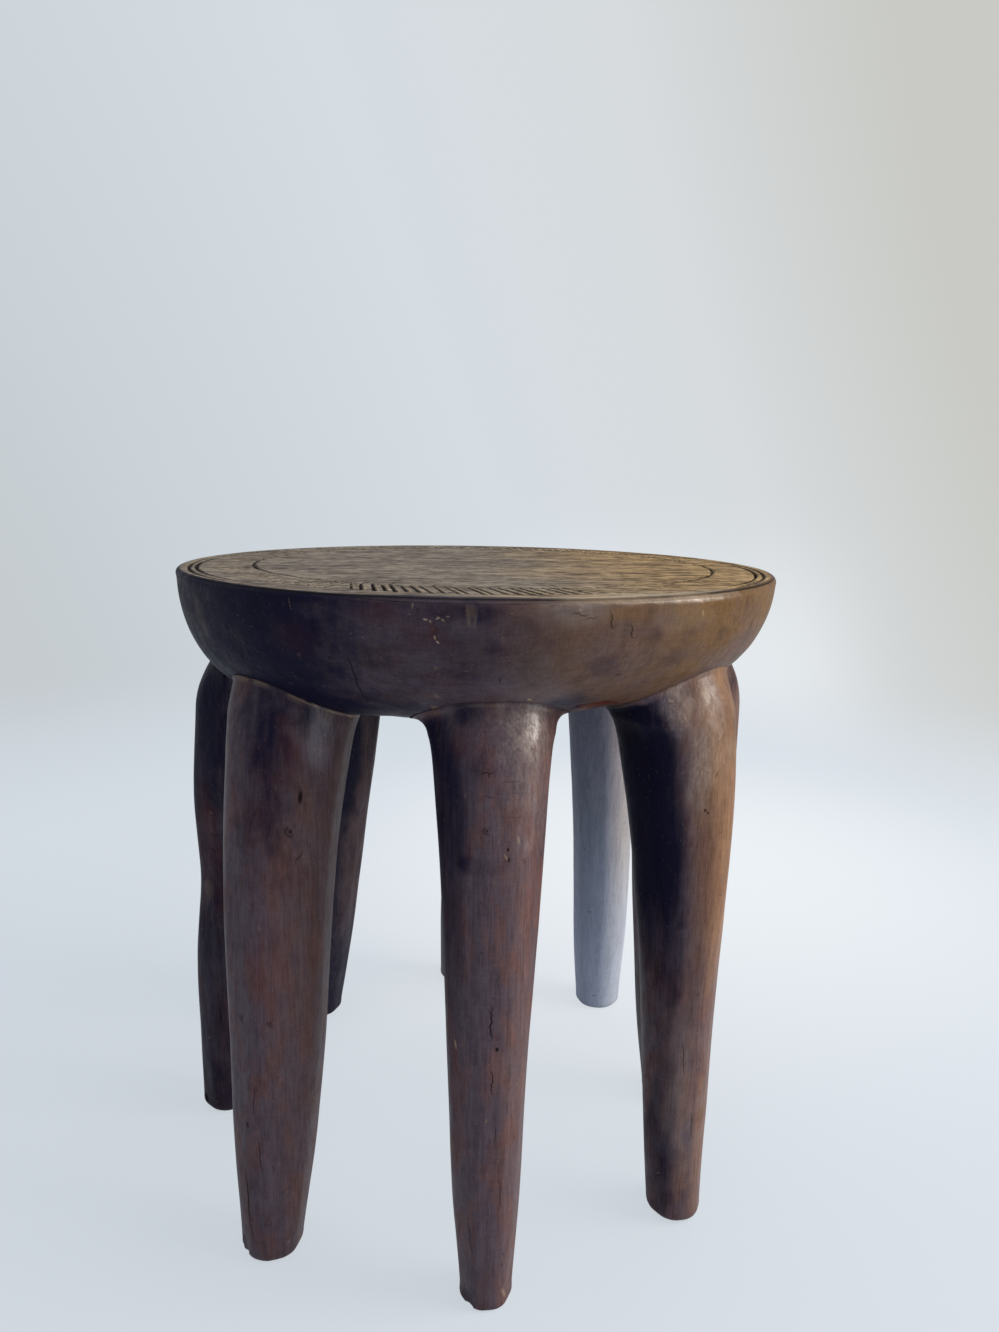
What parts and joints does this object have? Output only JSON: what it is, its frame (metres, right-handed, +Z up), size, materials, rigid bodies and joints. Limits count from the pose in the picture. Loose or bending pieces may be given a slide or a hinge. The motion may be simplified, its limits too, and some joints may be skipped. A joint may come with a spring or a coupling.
{
  "type": "carved wooden stool",
  "caption": "Round stool with a flat, lightly carved seat, a bowl-shaped underside and a ring of thick tapering legs, in dark polished wood.",
  "frame": {"origin": "on the floor, under the middle of the rectangle that the whole stool covers; the seat's own axis stands 3 mm further along +X", "axes": "+Z up from the floor to the seat, -Y towards the front of the stool, +X to its right as seen from the front"},
  "size_m": [0.5056, 0.5, 0.515],
  "materials": {
    "seat_wood": "satin",
    "leg_wood": "satin"
  },
  "bodies": {
    "root": {"seat": "seat_wood", "leg_front": "leg_wood", "leg_front_right": "leg_wood", "leg_right": "leg_wood", "leg_back_right": "leg_wood", "leg_back": "leg_wood", "leg_back_left": "leg_wood", "leg_left": "leg_wood", "leg_front_left": "leg_wood"}
  },
  "joints": []
}
